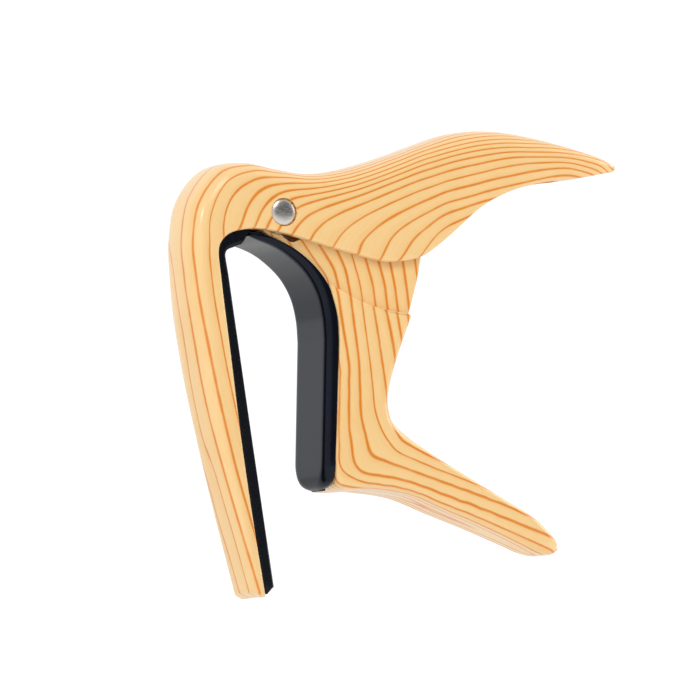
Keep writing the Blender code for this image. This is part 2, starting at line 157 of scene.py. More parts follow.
# Stations of the lower casting from its shoulder to the handle's tip: back x, back z, front x, front z,
# half width, depth of the rounding across the back, its width, and the rounding of the front's edges.
LOWER = (
    (27.2, -18.35, 9.55, -13.1, BODY_HALF, 1.3, BODY_HALF, 0.5),
    (27.1, -18.6, 11.05, -17.8, BODY_HALF, 1.4, BODY_HALF, 0.5),
    (24.9, -24.8, 11.6, -23.0, BODY_HALF, 1.8, BODY_HALF, 0.5),
    (22.95, -31.6, 11.37, -31.0, BODY_HALF, 2.2, BODY_HALF, 0.5),
    (22.9, -35.8, 11.12, -39.5, BODY_HALF, 2.6, BODY_HALF, 0.5),
    (24.2, -38.4, 10.93, -46.0, BODY_HALF, 2.8, BODY_HALF, 0.6),
    (26.7, -40.5, 11.6, -50.2, 7.3, 2.2, 7.3, 1.1),
    (30.2, -42.8, 19.5, -50.75, 7.1, 1.6, 7.1, 1.7),
    (34.5, -45.2, 27.0, -51.6, 6.8, 1.3, 6.8, 1.8),
    (41.0, -48.5, 35.5, -54.5, 6.35, 1.2, 6.35, 1.8),
    (47.8, -51.9, 44.0, -57.5, 5.8, 1.2, 5.8, 1.7),
    (53.8, -54.9, 51.0, -60.2, 5.1, 1.3, 5.1, 1.5),
    (56.5, -56.8, 54.2, -61.5, 4.6, 1.4, 4.6, 1.5),
    (58.0, -58.1, 56.2, -61.95, 4.1, 1.4, 4.1, 1.4),
    (58.9, -59.0, 57.5, -61.95, 3.5, 1.1, 3.5, 1.0),
    (59.4, -59.7, 58.6, -61.65, 2.8, 0.6, 2.8, 0.6),
    (59.6, -60.4, 59.3, -61.1, 1.8, 0.2, 1.8, 0.2),
)
SHOULDER_BOW = 1.2  # how far the shoulder dips below the straight line between its ends
BOW_REACH = 2.2  # how far along the casting the dip fades out

# The neck of the lower casting: two points inside the body, the back edge upwards, a corner and the top.
NECK_LOW = ((12.4, -23.4), (18.0, -24.5))
NECK_BACK = ((23.6, -24.0), (26.3, -18.6), (28.0, -13.0), (28.95, -8.8), (29.3, -5.0), (28.1, -3.9))
NECK_CORNER = (24.0, -2.6)
NECK_TOP = ((14.0, 0.0), (3.6, 3.9))
# The spring's slot before and behind an arc round the pin. Then the notch below the barrel.
SLOT_FRONT = ((-7.0, 7.0), (-7.0, -1.4))
SLOT_BACK = ((15.4, -11.8), (17.2, -10.6), (18.6, 6.0))
RELIEF = ((0.3, -4.1), (1.2, -4.9), (2.4, -5.35), (3.4, -5.1), (4.9, -4.3), (4.0, -3.0), (1.5, -2.6))

# The string pad where it turns round the arch.
ARCH_PAD = (
    (-11.3, -9.3, -13.25, -9.4, 6.8, 0.5, 0.6),
    (-11.42, -8.2, -13.3, -7.1, 6.8, 0.5, 0.7),
    (-11.0, -7.4, -12.5, -5.2, 6.8, 0.5, 0.8),
    (-9.6, -6.8, -10.6, -4.0, 6.8, 0.6, 1.0),
    (-7.2, -6.0, -8.3, -3.3, 6.8, 0.6, 1.2),
    (-3.6, -5.4, -3.6, -3.3, 6.8, 0.6, 1.2),
)
# Where the string pad ends, beside the end of the neck pad.
PAD_END_CUT = ((-6.2, -2.6), (-8.25, -6.25), (-9.6, -10.0), (2.0, -10.0), (2.0, -2.6))

# Growth rings of the printed grain on the upper casting. Each ring is a line of points: how far along the
# casting from the bar's tip, and how far round the section from the middle of its outer face.
UPPER_RINGS = {
    1: ((0, 2.4), (10, 2.3), (22, 1.3), (29, 0)),
    2: ((0, 5.5), (20, 4.4), (33, 3.6), (52, 3.5), (63, 2.3), (67.3, 1.7), (80, 2.3), (100, 3.0)),
    3: ((10, 7.7), (22, 7.0), (45, 6.75), (58, 6.15), (66.5, 5.4), (75, 6.4), (80, 6.1), (100, 4.8)),
    4: ((30, 9.7), (50, 9.3), (63, 8.6), (70.5, 9.8), (76, 8.6), (80, 7.5), (86, 6.5), (100, 6.0)),
    5: ((71.5, 14.2), (75, 12.6), (78, 10.3), (82, 8.8), (88, 7.3), (100, 6.9)),
    6: ((77.3, 18), (79, 14.2), (81.5, 11.7), (84.5, 9.4), (92, 8.0), (102, 7.6), (116, 6.6), (121.5, 7.1)),
    7: ((80.7, 18), (83, 13.5), (85, 11.2), (88, 9.8), (95, 8.9), (110, 8.0), (116, 7.6), (121.5, 8.1)),
    8: (
        (83.2, 18), (84.4, 15), (88.4, 11.3), (95, 9.8), (110, 8.85),
        (116, 8.5), (121.5, 9.0), (130, 8.0), (138, 6.3),
    ),
    9: ((85.6, 17.4), (89.6, 12.7), (94, 11.0), (102, 10.2), (116, 9.5), (121.5, 9.95), (134, 8.0)),
    10: (
        (88.6, 18), (91.3, 14.2), (97, 12.2), (106, 11.1),
        (115, 10.65), (121.5, 11.15), (130, 10.2), (138, 8),
    ),
    11: (
        (92.4, 18.5), (94.5, 15.6), (100, 13.5), (110, 12.6),
        (115, 12.25), (121.5, 12.75), (130, 11.6), (138, 9),
    ),
    12: ((97.8, 19), (101, 16.2), (106, 15.05), (116, 14.2), (121.5, 14.8), (130, 13.6), (138, 10.9)),
    13: (
        (102, 22.5), (102.5, 20), (108, 17.7), (116.5, 16.5),
        (122, 16.7), (130, 15.6), (138, 13.2), (150, 7.5),
    ),
    14: ((107.5, 24.6), (110, 20.6), (116.5, 19.05), (121.5, 19.1), (129, 18.2), (134, 16.8)),
    15: ((112.5, 25.7), (114, 22.8), (119, 21.6), (129, 20), (134, 18.7)),
    16: ((117.5, 25.8), (123, 23.7), (129, 22.2)),
}
# Where the middle of the outer face lies between rings: distance along the casting, ring number.
UPPER_MIDDLE = ((0, 0.25), (14, 0.55), (29, 1.0), (52, 0.9), (67, 1.4), (100, 0.8), (121, 1.2), (138, 2.0))

# Growth rings on the lower casting's side, as points of x and z.
BODY_RINGS = {
    0: ((10.2, -50.1), (15.8, -50.8), (23.0, -51.3), (28.3, -52.4)),
    1: (
        (11.7, -28.9), (11.4, -40.0), (11.7, -47.4), (15.8, -49.7),
        (25.1, -50.7), (38.9, -54.7), (55.2, -60.4),
    ),
    2: (
        (10.9, -13.7), (13.3, -27.0), (13.4, -41.8), (15.4, -47.6),
        (26.2, -49.2), (36.8, -52.6), (58.0, -58.8),
    ),
    3: (
        (13.8, -15.1), (15.5, -26.9), (15.9, -37.1), (17.9, -44.5),
        (28.3, -47.6), (43.1, -51.7), (52.5, -55.0),
    ),
    4: ((16.1, -16.3), (17.9, -27.8), (19.0, -37.6), (22.9, -43.6), (32.0, -46.7), (43.0, -50.2)),
    5: ((18.6, -17.5), (20.4, -27.7), (22.1, -37.8), (24.0, -41.4), (28.3, -43.5), (32.5, -45.1)),
    6: ((21.4, -18.4), (22.3, -22.0), (23.1, -26.7)),
    7: ((23.5, -18.5), (24.2, -22.0), (24.5, -23.4)),
}
NECK_RINGS = {
    1: ((3.5, -4.9), (6.8, -9.3), (9.2, -12.0)),
    2: ((6.6, -5.0), (10.3, -9.9), (11.3, -13.0)),
    3: ((10.5, -6.0), (12.9, -10.2), (13.7, -14.2)),
    4: ((13.8, -6.6), (15.6, -12.0), (16.3, -15.8)),
    5: ((16.6, -7.3), (18.3, -12.8), (18.9, -16.8)),
    6: ((19.5, -7.8), (21.0, -12.7), (21.6, -17.5)),
    7: ((21.8, -7.9), (23.0, -12.6), (23.8, -18.2)),
    8: ((24.5, -7.9), (25.5, -13.5), (26.1, -18.1)),
    9: ((27.1, -7.5), (27.7, -11.5)),
}
# Along this stretch the far side's rings change from running on to mirroring the near side's.
BAR_RUN = (55.0, 90.0)
ROUND_STRETCH = 0.45  # rings run along a limb, so distances along it count for less
RIDGE = 0.5  # softness of the ridge where the rings mirror
FAR_DRIFT = 0.55  # rings by which the upper casting's far side differs from the near one
BODY_DRIFT = 0.45  # the same for the lower casting
NECK_BOW, NECK_DRIFT = 1.3, 0.3  # rings gained at the neck's middle, and towards its far side
SIDE_RINGS = 0.62  # rings for each millimetre in from the edge, over the narrow faces of the lower casting


# --- Curves and growth rings ---


def smooth_stations(keys, spacing):
    """Stations on a smooth curve through the keys, no further apart than the spacing."""
    keys = np.array(keys, float)
    spans = np.linalg.norm(np.diff(keys[:, :4], axis=0), axis=1)
    slopes = np.diff(keys, axis=0) / spans[:, None]
    tangents = [slopes[0]]
    for i in range(1, len(slopes)):
        before, after = spans[i - 1], spans[i]
        tangents.append((slopes[i - 1] * after + slopes[i] * before) / (before + after))
    tangents.append(slopes[-1])
    rows = []
    for i, span in enumerate(spans):
        ends = np.linalg.norm(keys[i + 1, :4].reshape(2, 2) - keys[i, :4].reshape(2, 2), axis=1)
        steps = max(2, math.ceil(ends.max() / spacing))
        for t in np.arange(steps) / steps:
            rows.append(
                keys[i] * (2 * t**3 - 3 * t**2 + 1)
                + keys[i + 1] * (3 * t**2 - 2 * t**3)
                + tangents[i] * span * (t**3 - 2 * t**2 + t)
                + tangents[i + 1] * span * (t**3 - t**2)
            )
    rows.append(keys[-1])
    return np.array(rows)


def resampled(points, count):
    """This many points at even distances along a polyline, both ends included."""
    points = np.asarray(points, float)
    run = np.concatenate(([0.0], np.cumsum(np.linalg.norm(np.diff(points, axis=0), axis=1))))
    wanted = np.linspace(0.0, run[-1], count)
    return np.stack([np.interp(wanted, run, points[:, k]) for k in range(points.shape[1])], axis=1)


def run_of(stations):
    """Distance along the middle line of the stations."""
    middle = 0.5 * (stations[:, 0:2] + stations[:, 2:4])
    return np.concatenate(([0.0], np.cumsum(np.linalg.norm(np.diff(middle, axis=0), axis=1))))


class RingField:
    """A smooth surface of ring numbers through points that lie on known rings."""

    def __init__(self, points, values, smoothing=0.02):
        self.points = np.asarray(points, float)
        n = len(self.points)
        kernel = self.kernel(self.points) + smoothing * n * np.eye(n)
        flat = np.column_stack((np.ones(n), self.points))
        system = np.block([[kernel, flat], [flat.T, np.zeros((3, 3))]])
        solved = np.linalg.solve(system, np.concatenate((np.asarray(values, float), np.zeros(3))))
        self.weights, self.plane = solved[:n], solved[n:]

    def kernel(self, where):
        square = ((where[:, None, :] - self.points[None, :, :]) ** 2).sum(axis=2)
        return 0.5 * square * np.log(np.maximum(square, 1e-12))

    def __call__(self, where):
        where = np.asarray(where, float)
        return self.kernel(where) @ self.weights + self.plane[0] + where @ self.plane[1:]


def field_through(rings, stretch, extra=()):
    """A field through the lines of the rings, and through extra values in the middle of the outer face."""
    points, values = [], []
    for number, line in rings.items():
        steps = max(3, 3 * (len(line) - 1) + 1)
        for a, b in resampled(line, steps):
            points.append((a * stretch, b))
            values.append(number)
    for a, value in extra:
        points.append((a * stretch, 0.0))
        values.append(value)
    return RingField(points, values)


upper_field = field_through(UPPER_RINGS, ROUND_STRETCH, UPPER_MIDDLE)
body_field = field_through(BODY_RINGS, 1.0)
neck_field = field_through(NECK_RINGS, 1.0)


def with_spacing(rings_at, a, b):
    """Ring numbers at the points (a, b), and how many millimetres apart the rings are there."""
    step, closest, widest = 0.15, 0.35, 4.5
    ring = rings_at(a, b)
    slope_a = (rings_at(a + step, b) - rings_at(a - step, b)) / (2 * step)
    slope_b = (rings_at(a, b + step) - rings_at(a, b - step)) / (2 * step)
    return ring, np.clip(1.0 / np.maximum(np.hypot(slope_a, slope_b), 1e-3), closest, widest)


def upper_rings(along, around):
    """Ring numbers of the upper casting. On the bar the rings run on across the outer face to the far side.
    Further up, the far side takes the near side's rings over a softened ridge."""
    soft = np.hypot(around, RIDGE)
    near = upper_field(np.column_stack((along * ROUND_STRETCH, soft)))
    middle = upper_field(np.column_stack((along * ROUND_STRETCH, np.full_like(soft, RIDGE))))
    fade = 1.0 - np.clip((along - BAR_RUN[0]) / (BAR_RUN[1] - BAR_RUN[0]), 0.0, 1.0)
    fade = fade * fade * (3 - 2 * fade)
    drift = FAR_DRIFT * np.clip((around - 2.0) / 8.0, 0.0, 1.0)
    return near + np.where(around > 0, 2 * fade * (middle - near), 0.0) + drift


def body_rings(x, z):
    return body_field(np.column_stack((x, z)))


def neck_rings(x, z):
    return neck_field(np.column_stack((x, z)))


# --- Meshes ---


def half_section(half, thickness, depth, width, flatness, corner, counts):
    """Half of an outline across a limb, as (across, down, round). It goes from the middle of the outer face
    over the crown, down the flat side, round the inner edge and to the middle of the inner face."""
    width = min(width, 0.96 * half)
    corner = max(0.02, min(corner, 0.48 * (thickness - depth), 0.8 * half))
    turns = np.linspace(0.5 * math.pi, 0.0, 160)
    across = half - width + width * np.cos(turns) ** (2 / flatness)
    down = depth * (1 - np.sin(turns) ** (2 / flatness))
    crown = np.vstack(((0.0, 0.0), np.column_stack((across, down))))
    side = np.array(((half, depth), (half, thickness - corner)))
    bends = np.linspace(0.0, 0.5 * math.pi, 16)
    centre = np.array((half - corner, thickness - corner))
    edge = centre + corner * np.column_stack((np.cos(bends), np.sin(bends)))
    inner = np.array(((half - corner, thickness), (0.0, thickness)))
    parts = [resampled(part, count) for part, count in zip((crown, side, edge, inner), counts)]
    points = np.vstack([part[:-1] for part in parts[:-1]] + [parts[-1]])
    steps = np.linalg.norm(np.diff(points, axis=0), axis=1)
    return np.column_stack((points, np.concatenate(([0.0], np.cumsum(steps)))))


class Skin:
    """Points, faces and surface coordinates of a mesh while it is made."""

    def __init__(self):
        self.points, self.faces, self.coords = [], [], []

    def ring(self, points, coords):
        start = len(self.points)
        self.points.extend(np.asarray(points, float))
        self.coords.extend(np.asarray(coords, float))
        return list(range(start, start + len(points)))

    def circle(self, radius, y, sides):
        """A ring round the pivot axis, with x and z for its coordinates."""
        angles = 2 * math.pi * np.arange(sides) / sides
        points = np.column_stack((radius * np.cos(angles), np.full(sides, y), radius * np.sin(angles)))
        return self.ring(points, points[:, [0, 2]])

    def band(self, one, two):
        n = len(one)
        self.faces.extend((one[i], one[(i + 1) % n], two[(i + 1) % n], two[i]) for i in range(n))

    def bands(self, rings):
        for one, two in zip(rings, rings[1:]):
            self.band(one, two)

    def cap(self, ring, outward, rounding, run_step):
        """Closes a limb's end: rounds over its edge and fills the flat face with shrinking rings."""
        base = np.array([self.points[i] for i in ring])
        coords = np.array([self.coords[i] for i in ring])
        centre = base.mean(axis=0)
        arms = base - centre
        reach = np.linalg.norm(arms, axis=1, keepdims=True)
        last, inset = ring, 0.0
        for turn in (0.35, 0.7, 1.05, 1.57):
            inset = rounding * (1 - math.cos(turn))
            rise = rounding * math.sin(turn)
            points = base - arms / reach * np.minimum(inset, 0.7 * reach) + outward * rise
            moved = coords.copy()
            moved[:, 0] += run_step * rise
            following = self.ring(points, moved)
            self.band(last, following)
            last = following
        face = np.array([self.points[i] for i in last])
        middle = face.mean(axis=0)
        for share in (0.75, 0.5, 0.25):
            moved = coords.copy()
            moved[:, 0] += run_step * rounding
            moved[:, 1] *= share
            following = self.ring(middle + (face - middle) * share, moved)
            self.band(last, following)
            last = following
        tip = self.ring([middle], [coords.mean(axis=0)])[0]
        n = len(last)
        self.faces.extend((last[i], last[(i + 1) % n], tip) for i in range(n))


def limb(stations, counts, flatness=2.8, corner=0.4, end_rounding=(0.4, 0.4), run_start=0.0, bow=0.0):
    """A closed skin over the sections of these stations. Its coordinates are distances along and round it.
    The second is below 0 on the side with negative y. A bow lets the first sections dip."""
    skin = Skin()
    runs = run_of(stations) + run_start
    rings = []
    for row, run in zip(stations, runs):
        outer, inner = row[0:2], row[2:4]
        thickness = np.linalg.norm(inner - outer)
        inward = (inner - outer) / thickness
        width = row[6] if len(row) > 6 else row[4]
        edge = row[7] if len(row) > 7 else corner
        half = half_section(row[4], thickness, row[5], width, flatness, edge, counts)
        near, far = half * (-1, 1, -1), half[-2:0:-1]
        outline = np.vstack((near, far))
        plane = outer + outline[:, 1:2] * inward
        if bow:
            share = np.clip(outline[:, 1] / thickness, 0.0, 1.0)
            fade = max(0.0, 1.0 - (run - run_start) / BOW_REACH) ** 1.5
            dip = bow * fade * np.sin(math.pi * share)
            plane = plane - np.column_stack((inward[1] * dip, -inward[0] * dip))
        points = np.column_stack((plane[:, 0], outline[:, 0], plane[:, 1]))
        rings.append(skin.ring(points, np.column_stack((np.full(len(outline), run), outline[:, 2]))))
    skin.bands(rings)
    for index, toward, step, rounding in ((0, 1, -1, end_rounding[0]), (-1, -2, 1, end_rounding[1])):
        here = np.mean([skin.points[i] for i in rings[index]], axis=0)
        before = np.mean([skin.points[i] for i in rings[toward]], axis=0)
        outward = (here - before) / np.linalg.norm(here - before)
        skin.cap(rings[index], outward, rounding, step)
    return skin


def inside(outline, x, z):
    """Whether points lie inside a closed outline."""
    hit = np.zeros(len(x), bool)
    for (ax, az), (bx, bz) in zip(outline, np.roll(outline, -1, axis=0)):
        if az == bz:
            continue
        crosses = (az > z) != (bz > z)
        hit ^= crosses & (x < (bx - ax) * (z - az) / (bz - az) + ax)
    return hit


def plate(outline, half, edge, grid):
    """An outline in the x-z plane made this far out to both sides, with its edges rounded over and its faces
    divided finely. Its coordinates are x and z."""
    outline = np.asarray(outline, float)
    ahead = np.roll(outline, -1, axis=0) - outline
    ahead /= np.linalg.norm(ahead, axis=1, keepdims=True)
    behind = np.roll(ahead, 1, axis=0)
    following = np.roll(outline, -1, axis=0)
    twice_area = np.sum(outline[:, 0] * following[:, 1] - following[:, 0] * outline[:, 1])
    side = 1.0 if twice_area > 0 else -1.0
    normals = np.column_stack((-(ahead + behind)[:, 1], (ahead + behind)[:, 0])) * side
    normals /= np.linalg.norm(normals, axis=1, keepdims=True)
    skin = Skin()
    rings = []
    bends = (1.57, 1.05, 0.52, 0.0)
    levels = [(-half + edge * (1 - math.sin(b)), edge * (1 - math.cos(b))) for b in bends]
    for y, inset in levels + [(-y, inset) for y, inset in reversed(levels)]:
        flat = outline + normals * inset
        rings.append(skin.ring(np.column_stack((flat[:, 0], np.full(len(flat), y), flat[:, 1])), flat))
    skin.bands(rings)
    rim = outline + normals * edge
    low, high = rim.min(axis=0), rim.max(axis=0)
    gx, gz = np.meshgrid(np.arange(low[0], high[0], grid), np.arange(low[1], high[1], grid))
    gx, gz = gx.ravel(), gz.ravel()
    keep = inside(rim, gx, gz)
    distance = np.hypot(gx[:, None] - rim[None, :, 0], gz[:, None] - rim[None, :, 1]).min(axis=1)
    keep &= distance > 0.45 * grid
    spots = np.vstack((rim, np.column_stack((gx[keep], gz[keep]))))
    edges = [(i, (i + 1) % len(rim)) for i in range(len(rim))]
    found = delaunay_2d_cdt([Vector(p) for p in spots], edges, [], 1, 1e-6)
    places, origins, triangles = found[0], found[3], found[2]
    for y, ring, flip in ((-half, rings[0], False), (half, rings[-1], True)):
        index = []
        for place, origin in zip(places, origins):
            on_rim = [o for o in origin if o < len(rim)]
            if on_rim:
                index.append(ring[on_rim[0]])
            else:
                index.append(skin.ring([(place[0], y, place[1])], [(place[0], place[1])])[0])
        for triangle in triangles:
            corners = [index[i] for i in triangle]
            skin.faces.append(corners[::-1] if flip else corners)
    return skin


def turned(profile, sides):
    """A profile of (radius, y) points turned round the pivot axis. It starts and ends on the axis."""
    skin = Skin()
    first = skin.ring([(0.0, profile[0][1], 0.0)], [(0.0, 0.0)])[0]
    last = skin.ring([(0.0, profile[-1][1], 0.0)], [(0.0, 0.0)])[0]
    rings = [skin.circle(radius, y, sides) for radius, y in profile[1:-1]]
    skin.bands(rings)
    for i in range(sides):
        j = (i + 1) % sides
        skin.faces.append((first, rings[0][i], rings[0][j]))
        skin.faces.append((last, rings[-1][j], rings[-1][i]))
    return skin


def collar(corners, rounding, sides=96):
    """A ring of rectangular section round the pivot axis with rounded edges. Its corners are two radii, the
    inner one first, and two y."""
    inner, outer, start, end = corners
    outline = []
    for cx, cy, begin in (
        (outer - rounding, end - rounding, 0.0),
        (inner + rounding, end - rounding, 0.5 * math.pi),
        (inner + rounding, start + rounding, math.pi),
        (outer - rounding, start + rounding, 1.5 * math.pi),
    ):
        for bend in np.linspace(begin, begin + 0.5 * math.pi, 4):
            outline.append((cx + rounding * math.cos(bend), cy + rounding * math.sin(bend)))
    skin = Skin()
    rings = [skin.circle(radius, y, sides) for radius, y in outline]
    skin.bands(rings + rings[:1])
    return skin


def tube_along(path, radius, sides=20):
    """A round wire along a path, with softly rounded ends."""
    path = np.asarray(path, float)
    ahead = np.gradient(path, axis=0)
    ahead /= np.linalg.norm(ahead, axis=1, keepdims=True)
    up = np.array((0.0, 1.0, 0.0))
    skin = Skin()
    rings = []
    angles = 2 * math.pi * np.arange(sides) / sides
    stops = [(0, -radius * 0.3, 0.55), (0, -radius * 0.12, 0.88)]
    stops += [(i, 0.0, 1.0) for i in range(len(path))]
    stops += [(len(path) - 1, radius * 0.12, 0.88), (len(path) - 1, radius * 0.3, 0.55)]
    for i, shift, share in stops:
        across = up - ahead[i] * np.dot(up, ahead[i])
        across /= np.linalg.norm(across)
        other = np.cross(ahead[i], across)
        centre = path[i] + ahead[i] * shift
        ring = centre + radius * share * (np.cos(angles)[:, None] * across + np.sin(angles)[:, None] * other)
        rings.append(skin.ring(ring, np.column_stack((np.full(sides, float(i)), angles))))
    skin.bands(rings)
    skin.faces.append(tuple(rings[0][::-1]))
    skin.faces.append(tuple(rings[-1]))
    return skin


def link(piece):
    bpy.context.scene.collection.objects.link(piece)


def made(name, skin, layers=None):
    """A mesh object of this skin in the frame's metres. Layers are named pairs of values at each point."""
    mesh = bpy.data.meshes.new(name)
    world = (np.array(skin.points) + PIVOT) * MM
    mesh.from_pydata(world.tolist(), [], [tuple(int(i) for i in face) for face in skin.faces])
    corners = np.zeros(len(mesh.loops), np.int32)
    mesh.loops.foreach_get("vertex_index", corners)
    for layer, values in (layers or {}).items():
        uv = mesh.uv_layers.new(name=layer)
        uv.data.foreach_set("uv", np.asarray(values, np.float32)[corners].ravel())
    bm = bmesh.new()
    bm.from_mesh(mesh)
    bmesh.ops.recalc_face_normals(bm, faces=bm.faces)
    bm.to_mesh(mesh)
    bm.free()
    piece = bpy.data.objects.new(name, mesh)
    link(piece)
    return piece


def cut(piece, steps):
    """Applies exact Booleans one after another, removes the cutters, and shades the result."""
    for other, operation in steps:
        modifier = piece.modifiers.new(other.name, "BOOLEAN")
        modifier.operation = operation
        modifier.solver = "EXACT"
        modifier.object = other
        bpy.context.view_layer.update()
        evaluated = piece.evaluated_get(bpy.context.evaluated_depsgraph_get())
        result = bpy.data.meshes.new_from_object(evaluated)
        piece.modifiers.clear()
        piece.data = result
        bpy.data.objects.remove(other, do_unlink=True)
    return shaded(piece)


SHARP_DEGREES = 38.0


def shaded(piece):
    piece.data.shade_smooth()
    piece.data.set_sharp_from_angle(angle=math.radians(SHARP_DEGREES))
    return piece


def dress(piece, body, material, node):
    """Gives a piece its material and slot, and lets it stand for its CAD node on its body."""
    if not piece.data.materials:
        piece.data.materials.append(material)
    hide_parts(node)
    if body:
        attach(piece, body)


# --- Materials ---


class Graph:
    """A short way to write the nodes of a material or of the world."""

    def __init__(self, owner):
        self.owner = owner
        owner.use_nodes = True
        self.tree = owner.node_tree
        self.shader = self.tree.nodes.get("Principled BSDF")

    def value(self, socket, source):
        if isinstance(source, bpy.types.NodeSocket):
            self.tree.links.new(source, socket)
        else:
            socket.default_value = source

    def node(self, kind, inputs=None, **settings):
        node = self.tree.nodes.new("ShaderNode" + kind)
        for key, setting in settings.items():
            setattr(node, key, setting)
        for key, source in (inputs or {}).items():
            self.value(node.inputs[key], source)
        return node

    def math(self, operation, *sources):
        node = self.node("Math", operation=operation)
        for socket, source in zip(node.inputs, sources):
            self.value(socket, source)
        return node.outputs[0]

    def noise(self, vector, scale, detail=2.0, roughness=0.5):
        inputs = {"Vector": vector, "Scale": scale, "Detail": detail, "Roughness": roughness}
        return self.node("TexNoise", inputs).outputs["Fac"]

    def spread(self, value, start, end, low=0.0, high=1.0):
        inputs = {"Value": value, "From Min": start, "From Max": end, "To Min": low, "To Max": high}
        return self.node("MapRange", inputs, interpolation_type="SMOOTHSTEP").outputs["Result"]

    def plus(self, one, two):
        return self.math("ADD", one, two)

    def times(self, one, two):
        return self.math("MULTIPLY", one, two)

    def centred(self, value, range_wanted):
        """A value of 0 to 1 brought to this range on both sides of 0."""
        return self.times(self.math("SUBTRACT", value, 0.5), range_wanted)

    def clamped(self, value):
        return self.node("Clamp", {"Value": value}).outputs[0]

    def layer(self, name):
        """Both values of one of the mesh's layers."""
        pair = self.node("UVMap", uv_map=name).outputs["UV"]
        parts = self.node("SeparateXYZ", {"Vector": pair}).outputs
        return parts["X"], parts["Y"]

    def mix(self, share, one, two):
        return self.node("Mix", {0: share, 6: one, 7: two}, data_type="RGBA").outputs[2]

    def place(self):
        return self.node("TexCoord").outputs["Object"]

    def bump(self, height, distance, strength):
        inputs = {"Height": height, "Distance": distance, "Strength": strength}
        self.value(self.shader.inputs["Normal"], self.node("Bump", inputs).outputs["Normal"])

    def set(self, **values):
        for key, source in values.items():
            self.value(self.shader.inputs[key.replace("_", " ")], source)


def srgb(red, green, blue):
    """Linear colour of an 8-bit one."""
    parts = []
    for part in (red, green, blue):
        share = part / 255
        parts.append(share / 12.92 if share <= 0.04045 else ((share + 0.055) / 1.055) ** 2.4)
    return (*parts, 1.0)


def scaled(colour, share):
    """The colour with this share of its light."""
    return (*(share * part for part in colour[:3]), 1.0)


# The printed grain. Widths are millimetres.
WOOD_BASE = srgb(252, 212, 148)
WOOD_WARM = srgb(246, 190, 112)
WOOD_LINE = srgb(232, 134, 24)
LINE_HALF = 0.155  # half width of the thinnest line
LINE_SPREAD = 0.11  # how much more it is on the thickest
LINE_SHARE = 0.13  # most of the rings' spacing that it may take
LINE_SWAY = 0.03  # how far a line strays, in rings
LATE_WOOD = 0.32  # how much warmer the wood gets towards a line
FIBRE_TONE, PATCH_TONE = 0.75, 0.5  # how much fine fibres and large patches change the wood's warmth
LACQUER, LACQUER_ROUGH = 0.6, 0.15


def wood(name, warmth):
    """Wood grain printed on a casting under a satin lacquer. Ring number and spacing come from the mesh."""
    g = Graph(bpy.data.materials.new(name))
    place = g.place()
    ring, spacing = g.layer("grain")
    ring = g.plus(ring, g.centred(g.noise(place, 260.0), LINE_SWAY))
    fraction = g.math("FRACT", ring)
    off_centre = g.math("ABSOLUTE", g.math("SUBTRACT", fraction, 0.5))
    distance = g.times(g.math("SUBTRACT", 0.5, off_centre), spacing)
    number = g.math("FLOOR", g.plus(ring, 0.5))
    chance = g.node("TexWhiteNoise", {"W": number}, noise_dimensions="1D").outputs["Value"]
    ink = g.noise(place, 180.0, 3.0, 0.6)
    full_width = g.plus(LINE_HALF, g.times(chance, LINE_SPREAD))
    half_width = g.times(full_width, g.plus(0.6, g.times(ink, 0.8)))
    half_width = g.math("MINIMUM", half_width, g.times(spacing, LINE_SHARE))
    fading = g.spread(distance, g.times(half_width, 0.3), g.times(half_width, 1.7))
    line = g.times(g.math("SUBTRACT", 1.0, fading), g.plus(0.72, g.times(ink, 0.55)))
    late_wood = g.times(g.spread(fraction, 0.45, 1.0), LATE_WOOD)
    along, around = g.layer("run")
    stretched = {"X": g.times(ring, 5.0), "Y": g.times(along, 0.16), "Z": g.times(around, 0.12)}
    fibre = g.noise(g.node("CombineXYZ", stretched).outputs["Vector"], 1.6, 3.0, 0.65)
    patches = g.noise(place, 70.0)
    tone = g.plus(g.centred(fibre, FIBRE_TONE), g.centred(patches, PATCH_TONE))
    tone = g.plus(g.plus(tone, warmth), late_wood)
    base = g.mix(g.clamped(tone), WOOD_BASE, WOOD_WARM)
    colour = g.mix(g.clamped(line), base, WOOD_LINE)
    g.set(Base_Color=colour, Roughness=g.spread(g.noise(place, 500.0), 0.3, 0.7, 0.34, 0.42), IOR=1.48)
    g.set(Coat_Weight=LACQUER, Coat_Roughness=LACQUER_ROUGH)
    height = g.math("SUBTRACT", g.times(g.noise(place, 900.0), 0.35), g.times(line, 0.5))
    g.bump(height, 0.00004, 0.35)
    return g.owner


def silicone(name, colour, rough):
    """Moulded black silicone: a satin skin, faint mould marks and a little unevenness in its tone."""
    g = Graph(bpy.data.materials.new(name))
    place = g.place()
    skin = g.noise(place, 2600.0, 3.0, 0.6)
    clouds = g.noise(place, 120.0, 3.0)
    tint = g.mix(g.spread(clouds, 0.35, 0.7), colour, scaled(colour, 1.5))
    g.set(Base_Color=tint, Roughness=g.spread(skin, 0.3, 0.7, rough - 0.05, rough + 0.06), IOR=1.36)
    g.set(Specular_Tint=(0.7, 0.8, 1.0, 1.0))
    g.bump(g.plus(skin, g.times(clouds, 0.5)), 0.00003, 0.2)
    return g.owner


